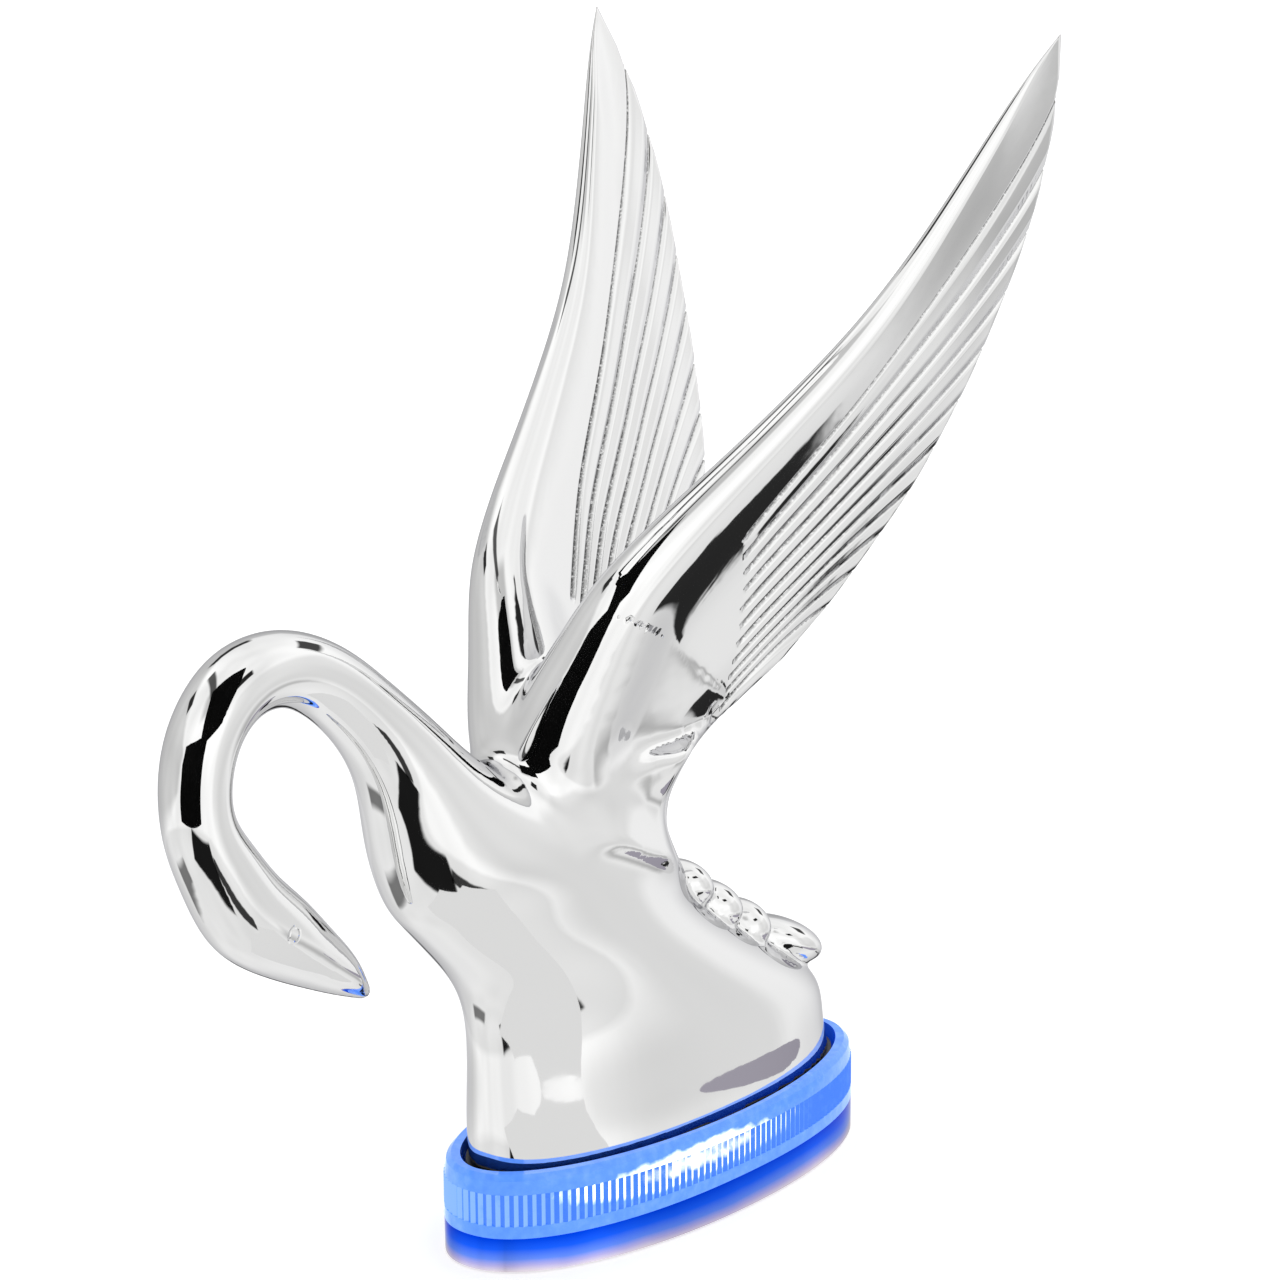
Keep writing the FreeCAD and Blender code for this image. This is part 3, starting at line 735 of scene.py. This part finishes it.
def casting_chrome():
    """Plating of the swan; the groove floors keep the grain of the casting and are painted dark as shade in
    the recesses.
    """
    g = chrome("swan_chrome")
    mask = g.add("ShaderNodeAttribute", attribute_name="groove").outputs["Fac"]
    grain = g.noise(1900.0, 3.0, 0.6)
    # painted shade: the groove floors are darkened towards black, speckled by the casting's grain
    grain_and_groove_shade = g.ramp(grain, [(0.42, grey(0.03)), (0.54, grey(0.2)), (0.66, grey(0.85))])
    g.link(g.blend(mask, PLATING, grain_and_groove_shade), g.shader.inputs["Base Color"])
    polish = g.add("ShaderNodeBump")
    polish.inputs["Strength"].default_value = 0.05
    polish.inputs["Distance"].default_value = 0.0006
    g.link(g.noise(75.0, 3.0), polish.inputs["Height"])
    eye = g.add("ShaderNodeBump", invert=True)
    eye.inputs["Strength"].default_value = 0.55
    eye.inputs["Distance"].default_value = 0.0003
    g.link(eye_ring(g), eye.inputs["Height"])
    g.link(polish.outputs["Normal"], eye.inputs["Normal"])
    rough = g.add("ShaderNodeBump")
    rough.inputs["Strength"].default_value = 0.8
    rough.inputs["Distance"].default_value = 0.0003
    g.link(g.math("MULTIPLY", grain, mask), rough.inputs["Height"])
    g.link(eye.outputs["Normal"], rough.inputs["Normal"])
    g.link(rough.outputs["Normal"], g.shader.inputs["Normal"])
    smooth = g.shader.inputs["Roughness"].links[0].from_socket
    g.link(g.math("MULTIPLY_ADD", mask, 0.18, smooth), g.shader.inputs["Roughness"])
    return g.material


def skirt_chrome():
    """Plating of the skirt, blue where it catches the light of the ring above."""
    g = chrome("skirt_chrome", low=0.06, high=0.12)
    _, _, z = g.parts(g.place())
    drift = g.math("MULTIPLY_ADD", g.noise(60.0, 3.0), 0.0016, -0.0008)
    height = g.span(g.math("ADD", z, drift), 0.0, 1.0, 0.0, 0.0066)
    tone = g.ramp(height, [(0.0, (0.82, 0.74, 0.84)), (0.16, (0.50, 0.47, 0.86)), (0.36, (0.13, 0.27, 0.96)),
                           (0.68, (0.01, 0.11, 0.93)), (1.0, (0.0, 0.05, 0.70))])
    g.link(tone, g.shader.inputs["Base Color"])
    g.link(tone, g.shader.inputs["Emission Color"])
    g.link(g.span(height, 0.02, 0.16, 0.2, 0.9), g.shader.inputs["Emission Strength"])
    g.bump(g.noise(150.0, 2.0), 0.05, 0.0004)
    return g.material


def lens_blue():
    """Blue lens lit from inside, with painted light: painted highlights and shade on the ribs, painted shade
    on the inner wall and a painted white highlight on each side.
    """
    g = Graph("lens_blue")
    x, y, z = g.parts(g.place())
    nx, ny, nz = g.parts(g.add("ShaderNodeNewGeometry").outputs["Normal"])
    half_x, half_y = 0.0220, 0.0550
    gx = g.math("DIVIDE", x, half_x ** 2)
    gy = g.math("DIVIDE", y, half_y ** 2)
    size = g.math("SQRT", g.math("ADD", g.math("MULTIPLY", gx, gx), g.math("MULTIPLY", gy, gy)))
    gx, gy = g.math("DIVIDE", gx, size), g.math("DIVIDE", gy, size)
    side = g.math("SUBTRACT", g.math("MULTIPLY", gx, ny), g.math("MULTIPLY", gy, nx))
    outward = g.math("ADD", g.math("MULTIPLY", gx, nx), g.math("MULTIPLY", gy, ny))
    # painted highlight and shade on the ribs: each rib is bright on one side and dark on the other, by the
    # way it faces round the ring
    painted_rib_light = g.span(side, 0.0, 1.0, -0.6, 0.6)
    wobble = g.noise(520.0, 3.0)
    mixed = g.math("ADD", painted_rib_light, g.math("MULTIPLY_ADD", wobble, 0.5, -0.25))
    tone = g.ramp(mixed, [(0.1, (0.03, 0.15, 0.85)), (0.5, (0.13, 0.33, 1.0)), (0.8, (0.30, 0.53, 1.0))])
    # painted shade: faces turned inward are darkened, near black at the front and deep blue further back
    inside = g.span(outward, 1.0, 0.0, -0.5, -0.1)
    back = g.span(y, 0.0, 1.0, -0.035, 0.03)
    tone = g.blend(inside, tone, g.blend(back, (0.0, 0.002, 0.03), (0.0, 0.02, 0.30)))
    # painted highlight: a white reflection a little in front of the middle, the same on both sides, its
    # edges following the ribs
    dy = g.math("DIVIDE", g.math("SUBTRACT", y, -0.013), 0.026)
    dz = g.math("DIVIDE", g.math("SUBTRACT", z, 0.0136), 0.0032)
    far = g.math("ADD", g.math("MULTIPLY", dy, dy), g.math("MULTIPLY", dz, dz))
    far = g.math("ADD", far, g.math("MULTIPLY_ADD", g.noise(330.0, 3.0), 1.2, -0.6))
    far = g.math("ADD", far, g.math("MULTIPLY", g.math("SUBTRACT", painted_rib_light, 0.5), -1.6))
    glow = g.math("MULTIPLY", g.span(far, 1.0, 0.0, 0.5, 1.0), g.span(outward, 0.0, 1.0, 0.0, 0.5))
    tone = g.blend(glow, tone, (1.0, 1.0, 1.0))
    g.link(tone, g.shader.inputs["Emission Color"])
    g.link(g.math("MULTIPLY_ADD", glow, 1.2, 0.72), g.shader.inputs["Emission Strength"])
    g.set(Base_Color=(0.03, 0.12, 0.55, 1.0), Roughness=0.12, IOR=1.45)
    g.bump(g.noise(420.0, 3.0), 0.12, 0.0004)
    return g.material


def soft_black(name, low, high, scale, rough):
    g = Graph(name)
    tone = g.ramp(g.noise(scale, 4.0), [(0.3, grey(low)), (0.7, grey(high))])
    g.link(tone, g.shader.inputs["Base Color"])
    g.link(g.span(g.noise(scale * 2), rough - 0.08, rough + 0.08), g.shader.inputs["Roughness"])
    g.bump(g.noise(scale * 6, 3.0), 0.25, 0.0002)
    return g.material


def plain_plastic(name, color, scale=400.0, rough=0.4):
    g = Graph(name)
    dark = tuple(0.8 * c for c in color)
    g.link(g.ramp(g.noise(scale, 3.0), [(0.3, dark), (0.7, color)]), g.shader.inputs["Base Color"])
    g.link(g.span(g.noise(scale * 1.7), rough - 0.07, rough + 0.1), g.shader.inputs["Roughness"])
    g.bump(g.noise(scale * 5, 2.0), 0.15, 0.0001)
    return g.material


def turned_metal(name, tint, rough=0.25):
    g = Graph(name)
    dark = tuple(0.78 * c for c in tint)
    g.link(g.ramp(g.noise(900.0, 4.0), [(0.3, dark), (0.7, tint)]), g.shader.inputs["Base Color"])
    g.set(Metallic=1.0)
    g.link(g.span(g.noise(700.0), rough - 0.08, rough + 0.12), g.shader.inputs["Roughness"])
    g.bump(g.noise(2200.0, 2.0), 0.1, 0.0001)
    return g.material


def lamp_window():
    g = Graph("lamp_window")
    g.set(Base_Color=(0.6, 0.8, 1.0, 1.0), Roughness=0.3)
    g.link(g.ramp(g.noise(1500.0), [(0.3, (0.25, 0.5, 1.0)), (0.7, (0.55, 0.75, 1.0))]),
           g.shader.inputs["Emission Color"])
    g.shader.inputs["Emission Strength"].default_value = 12.0
    return g.material


# ---------------------------------------------------------------- pieces
def mesh_object(name, points, faces):
    mesh = bpy.data.meshes.new(name)
    mesh.from_pydata([tuple(p) for p in np.asarray(points) * MM], [], [tuple(map(int, f)) for f in faces])
    mesh.validate()
    thing = bpy.data.objects.new(name, mesh)
    bpy.context.collection.objects.link(thing)
    return thing


def dress(piece, material):
    piece.data.materials.clear()
    piece.data.materials.append(material)


def build_swan():
    points, faces, mask = swan_mesh()
    swan = mesh_object("swan", points, faces)
    layer = swan.data.attributes.new("groove", "FLOAT", "POINT")
    layer.data.foreach_set("value", mask.astype(np.float32))
    bm = bmesh.new()
    bm.from_mesh(swan.data)
    bmesh.ops.remove_doubles(bm, verts=bm.verts, dist=1e-6)
    bmesh.ops.recalc_face_normals(bm, faces=bm.faces)
    bm.to_mesh(swan.data)
    bm.free()
    swan.data.shade_smooth()
    swan.data.materials.append(casting_chrome())
    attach(swan, "root")
    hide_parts("swan_casting")


def node_looks():
    """Material of every CAD piece that is shown as it is."""
    return {
        "seat_gasket": soft_black("gasket_rubber", 0.004, 0.012, 300.0, 0.45),
        "base_core": soft_black("core_plastic", 0.006, 0.016, 260.0, 0.4),
        "carrier_plate": soft_black("plate_plastic", 0.004, 0.012, 260.0, 0.35),
        "bottom_plate": turned_metal("plate_zinc", (0.7, 0.71, 0.73), 0.32),
        "base_pad": soft_black("pad_rubber", 0.02, 0.035, 420.0, 0.8),
        "wire_grommet": soft_black("grommet_rubber", 0.01, 0.02, 500.0, 0.6),
        "light_ring": lens_blue(),
        "ring_seal": plain_plastic("seal_silicone", (0.75, 0.8, 0.86), 300.0, 0.3),
        "base_skirt": skirt_chrome(),
        "light_reflector": plain_plastic("reflector_white", (0.85, 0.86, 0.88)),
        "led_board": plain_plastic("board_green", (0.02, 0.18, 0.07), 250.0, 0.35),
        "led_housings": plain_plastic("lamp_white", (0.85, 0.85, 0.82), 800.0, 0.5),
        "led_windows": lamp_window(),
        "chip_resistors": plain_plastic("chip_black", (0.02, 0.02, 0.022), 900.0, 0.45),
        "input_diode": plain_plastic("diode_black", (0.025, 0.025, 0.027), 900.0, 0.5),
        "wire_header": plain_plastic("plug_white", (0.82, 0.81, 0.76), 500.0, 0.45),
        "header_pins": turned_metal("pin_tin", (0.75, 0.74, 0.72), 0.3),
        "thread_inserts": turned_metal("insert_brass", (0.75, 0.56, 0.25), 0.3),
        "core_screws": turned_metal("screw_zinc", (0.68, 0.69, 0.72), 0.28),
        "casting_screws": turned_metal("screw_steel", (0.66, 0.67, 0.69), 0.3),
        "board_screws": turned_metal("small_screw_steel", (0.6, 0.61, 0.63), 0.3),
        "casting_washers": turned_metal("washer_steel", (0.68, 0.68, 0.69), 0.35),
        "lock_washers": turned_metal("lock_washer_steel", (0.6, 0.6, 0.62), 0.32),
    }


# ---------------------------------------------------------------- studio
def camera():
    """Camera in front of the swan's left side, a little above it."""
    data = bpy.data.cameras.new("camera")
    data.sensor_width = SENSOR
    data.lens = LENS
    data.clip_start = 0.02
    data.clip_end = 20.0
    cam = bpy.data.objects.new("camera", data)
    bpy.context.collection.objects.link(cam)
    turn = Matrix((Vector(CAMERA_RIGHT), Vector(CAMERA_UP), Vector(CAMERA_BACK))).transposed().to_4x4()
    cam.matrix_world = Matrix.Translation(Vector(CAMERA_PLACE)) @ turn
    bpy.context.scene.camera = cam


# grey walls and black cards far from the piece, as seen from its centre, in degrees: azimuth from
# the swan's gaze towards its left, elevation, half width, half height, turn; brightness; softness
CARDS = [
    (-80, 12, 72, 34, 0, 0.66, 6.0),
    (128, 2, 30, 22, 0, 0.82, 5.0),
    (150, -25.5, 14, 3.5, 0, 0.62, 3.0),
    (38, 56, 16, 12, 10, 0.6, 5.0),
    (50, -38, 22, 10, -4, 0.012, 1.2),
    (92, -37, 13, 3.5, -6, 0.05, 0.8),
    (170, -34.8, 8, 1.7, 0, 0.03, 0.6),
    (100, 42, 9, 5, 4, 0.02, 1.2),
    (-44, -47, 15, 6, -6, 0.22, 2.5),
    (-56, 40, 8, 4, 0, 0.04, 1.0),
    (-22, 68, 22, 4, 0, 0.10, 1.5),
    (-150, -34, 22, 4, 0, 0.05, 1.5),
    (-115, 40, 14, 5, 8, 0.05, 1.5),
    (176, 30, 10, 6, 0, 0.06, 1.5),
]
# black sheets standing close to the piece, metres: centre, width, height, the point they face
SHEETS = [
    ((0.112, -0.318, 0.112), 0.27, 0.224, (0.0, -0.112, 0.112)),
    ((0.090, -0.160, 0.212), 0.115, 0.142, (0.0, -0.112, 0.110)),
]
# flat on the floor, metres: a bright patch that clears the pedestal, and an ellipse of grey shade
# beside the base
PATCH_HEIGHT = 0.002
PATCH = [(0.024, -0.062), (0.024, -0.108), (0.070, -0.110), (0.090, -0.082), (0.112, -0.074),
         (0.122, -0.020), (0.040, -0.018)]
SHADE_CENTRE = (0.056, 0.077)
SHADE_LONG = 0.036
SHADE_SHORT = 0.014
SHADE_LEAN = (0.55, 0.83)
FLOOR_REACH = 8.0


def shade_outline():
    """Corners of the grey shade, which lies slantwise."""
    x, y = SHADE_CENTRE
    lean_x, lean_y = SHADE_LEAN
    outline = []
    for a in np.linspace(0, 2 * math.pi, 32, endpoint=False):
        run, off = SHADE_LONG * math.cos(a), SHADE_SHORT * math.sin(a)
        outline.append((x + run * lean_x - off * lean_y, y - run * lean_y - off * lean_x, PATCH_HEIGHT))
    return outline


def hidden_sheet(name, corners, glow=(0.0, 0.0, 0.0)):
    """Matt black or faintly lit sheet that only shows up in reflections."""
    mesh = bpy.data.meshes.new(name)
    mesh.from_pydata(corners, [], [tuple(range(len(corners)))])
    sheet = bpy.data.objects.new(name, mesh)
    bpy.context.collection.objects.link(sheet)
    matt = bpy.data.materials.new(name)
    matt.use_nodes = True
    shader = matt.node_tree.nodes["Principled BSDF"]
    shader.inputs["Base Color"].default_value = (0.003, 0.003, 0.003, 1)
    shader.inputs["Roughness"].default_value = 1.0
    shader.inputs["Specular IOR Level"].default_value = 0.0
    shader.inputs["Emission Color"].default_value = (*glow, 1)
    shader.inputs["Emission Strength"].default_value = 1.0
    mesh.materials.append(matt)
    sheet.visible_camera = False
    sheet.visible_diffuse = False
    sheet.visible_shadow = False
    sheet.visible_transmission = False


def reflected_sheets():
    """Sheets near the neck and patches on the floor that only the chrome sees."""
    for number, (centre, width, height, target) in enumerate(SHEETS):
        middle = Vector(centre)
        forward = (Vector(target) - middle).normalized()
        side = forward.cross(Vector((0, 0, 1))).normalized() * (width / 2)
        up = side.cross(forward).normalized() * (height / 2)
        corners = [middle - side - up, middle + side - up, middle + side + up, middle - side + up]
        hidden_sheet("black_sheet_%d" % number, corners)
    hidden_sheet("bright_patch", [(x, y, PATCH_HEIGHT) for x, y in PATCH], (0.76, 0.76, 0.76))
    hidden_sheet("base_shade", shade_outline(), (0.36, 0.34, 0.40))


def math_node(tree, kind, *values):
    """Adds one maths node fed by numbers and sockets; returns its result."""
    node = tree.nodes.new("ShaderNodeMath")
    node.operation = kind
    for slot, value in enumerate(values):
        if isinstance(value, (int, float)):
            node.inputs[slot].default_value = value
        else:
            tree.links.new(value, node.inputs[slot])
    return node.outputs[0]


def add_card(tree, tone, direction, card):
    """Multiplies the tone of the room by one card; returns the new tone."""
    azimuth, elevation, wide, high, turn, level, soft = card
    a, e = math.radians(azimuth), math.radians(elevation)
    forward = Vector((math.sin(a) * math.cos(e), -math.cos(a) * math.cos(e), math.sin(e)))
    right = Vector((math.cos(a), math.sin(a), 0.0))
    up = right.cross(forward) * -1.0
    t = math.radians(turn)
    axes = (right * math.cos(t) + up * math.sin(t), up * math.cos(t) - right * math.sin(t), forward)
    parts = []
    for axis in axes:
        dot = tree.nodes.new("ShaderNodeVectorMath")
        dot.operation = "DOT_PRODUCT"
        tree.links.new(direction, dot.inputs[0])
        dot.inputs[1].default_value = axis
        parts.append(dot.outputs["Value"])
    inside = math_node(tree, "GREATER_THAN", parts[2], 0.05)
    ahead = math_node(tree, "MAXIMUM", parts[2], 0.001)
    for part, reach in zip(parts, (wide, high)):
        angle = math_node(tree, "ABSOLUTE", math_node(tree, "ARCTAN2", part, ahead))
        edge = tree.nodes.new("ShaderNodeMapRange")
        edge.interpolation_type = "SMOOTHSTEP"
        edge.inputs["From Min"].default_value = math.radians(reach - soft)
        edge.inputs["From Max"].default_value = math.radians(reach + soft)
        edge.inputs["To Min"].default_value = 1.0
        edge.inputs["To Max"].default_value = 0.0
        tree.links.new(angle, edge.inputs["Value"])
        inside = math_node(tree, "MULTIPLY", inside, edge.outputs["Result"])
    return math_node(tree, "MULTIPLY", tone, math_node(tree, "MULTIPLY_ADD", inside, level - 1.0, 1.0))


def room():
    """World: a softly uneven bright tent over a slightly darker floor, hung with the cards."""
    world = bpy.data.worlds.new("studio")
    world.use_nodes = True
    bpy.context.scene.world = world
    tree = world.node_tree
    direction = tree.nodes.new("ShaderNodeTexCoord").outputs["Generated"]
    split = tree.nodes.new("ShaderNodeSeparateXYZ")
    tree.links.new(direction, split.inputs[0])
    floor_tone = tree.nodes.new("ShaderNodeMapRange")
    floor_tone.inputs["From Min"].default_value = -0.44
    floor_tone.inputs["From Max"].default_value = -0.40
    floor_tone.inputs["To Min"].default_value = 0.84
    floor_tone.inputs["To Max"].default_value = 1.0
    tree.links.new(split.outputs["Z"], floor_tone.inputs["Value"])
    drift = tree.nodes.new("ShaderNodeTexNoise")
    drift.inputs["Scale"].default_value = 1.6
    drift.inputs["Detail"].default_value = 1.0
    tree.links.new(direction, drift.inputs["Vector"])
    tent = math_node(tree, "MULTIPLY_ADD", drift.outputs["Fac"], 0.5, 0.74)
    tone = math_node(tree, "MULTIPLY", tent, floor_tone.outputs["Result"])
    for card in CARDS:
        tone = add_card(tree, tone, direction, card)
    tree.links.new(tone, tree.nodes["Background"].inputs["Strength"])
    tree.nodes["Background"].inputs["Color"].default_value = (1, 1, 1, 1)


def pale_floor():
    """White floor that the chrome does not mirror, because the room's lower half stands in for it."""
    mesh = bpy.data.meshes.new("floor")
    reach = FLOOR_REACH
    mesh.from_pydata([(-reach, -reach, 0), (reach, -reach, 0), (reach, reach, 0), (-reach, reach, 0)],
                     [], [(0, 1, 2, 3)])
    floor = bpy.data.objects.new("floor", mesh)
    bpy.context.collection.objects.link(floor)
    floor.location.z = -0.0005
    floor.visible_glossy = False
    white = bpy.data.materials.new("floor")
    white.use_nodes = True
    shader = white.node_tree.nodes["Principled BSDF"]
    shader.inputs["Base Color"].default_value = (0.9, 0.9, 0.9, 1)
    shader.inputs["Roughness"].default_value = 0.9
    shader.inputs["Emission Color"].default_value = (1, 1, 1, 1)
    shader.inputs["Emission Strength"].default_value = 0.45
    mesh.materials.append(white)


# ---------------------------------------------------------------- scene
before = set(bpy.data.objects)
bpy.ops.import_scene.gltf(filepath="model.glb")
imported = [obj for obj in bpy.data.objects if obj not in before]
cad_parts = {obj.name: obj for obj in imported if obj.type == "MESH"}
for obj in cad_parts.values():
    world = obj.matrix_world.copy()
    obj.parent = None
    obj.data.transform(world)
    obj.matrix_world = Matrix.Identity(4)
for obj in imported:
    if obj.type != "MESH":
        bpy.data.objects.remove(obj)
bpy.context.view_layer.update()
build_swan()
for node_name, look in node_looks().items():
    dress(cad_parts[node_name], look)
camera()
room()
pale_floor()
reflected_sheets()
bpy.context.scene.view_settings.view_transform = "Standard"
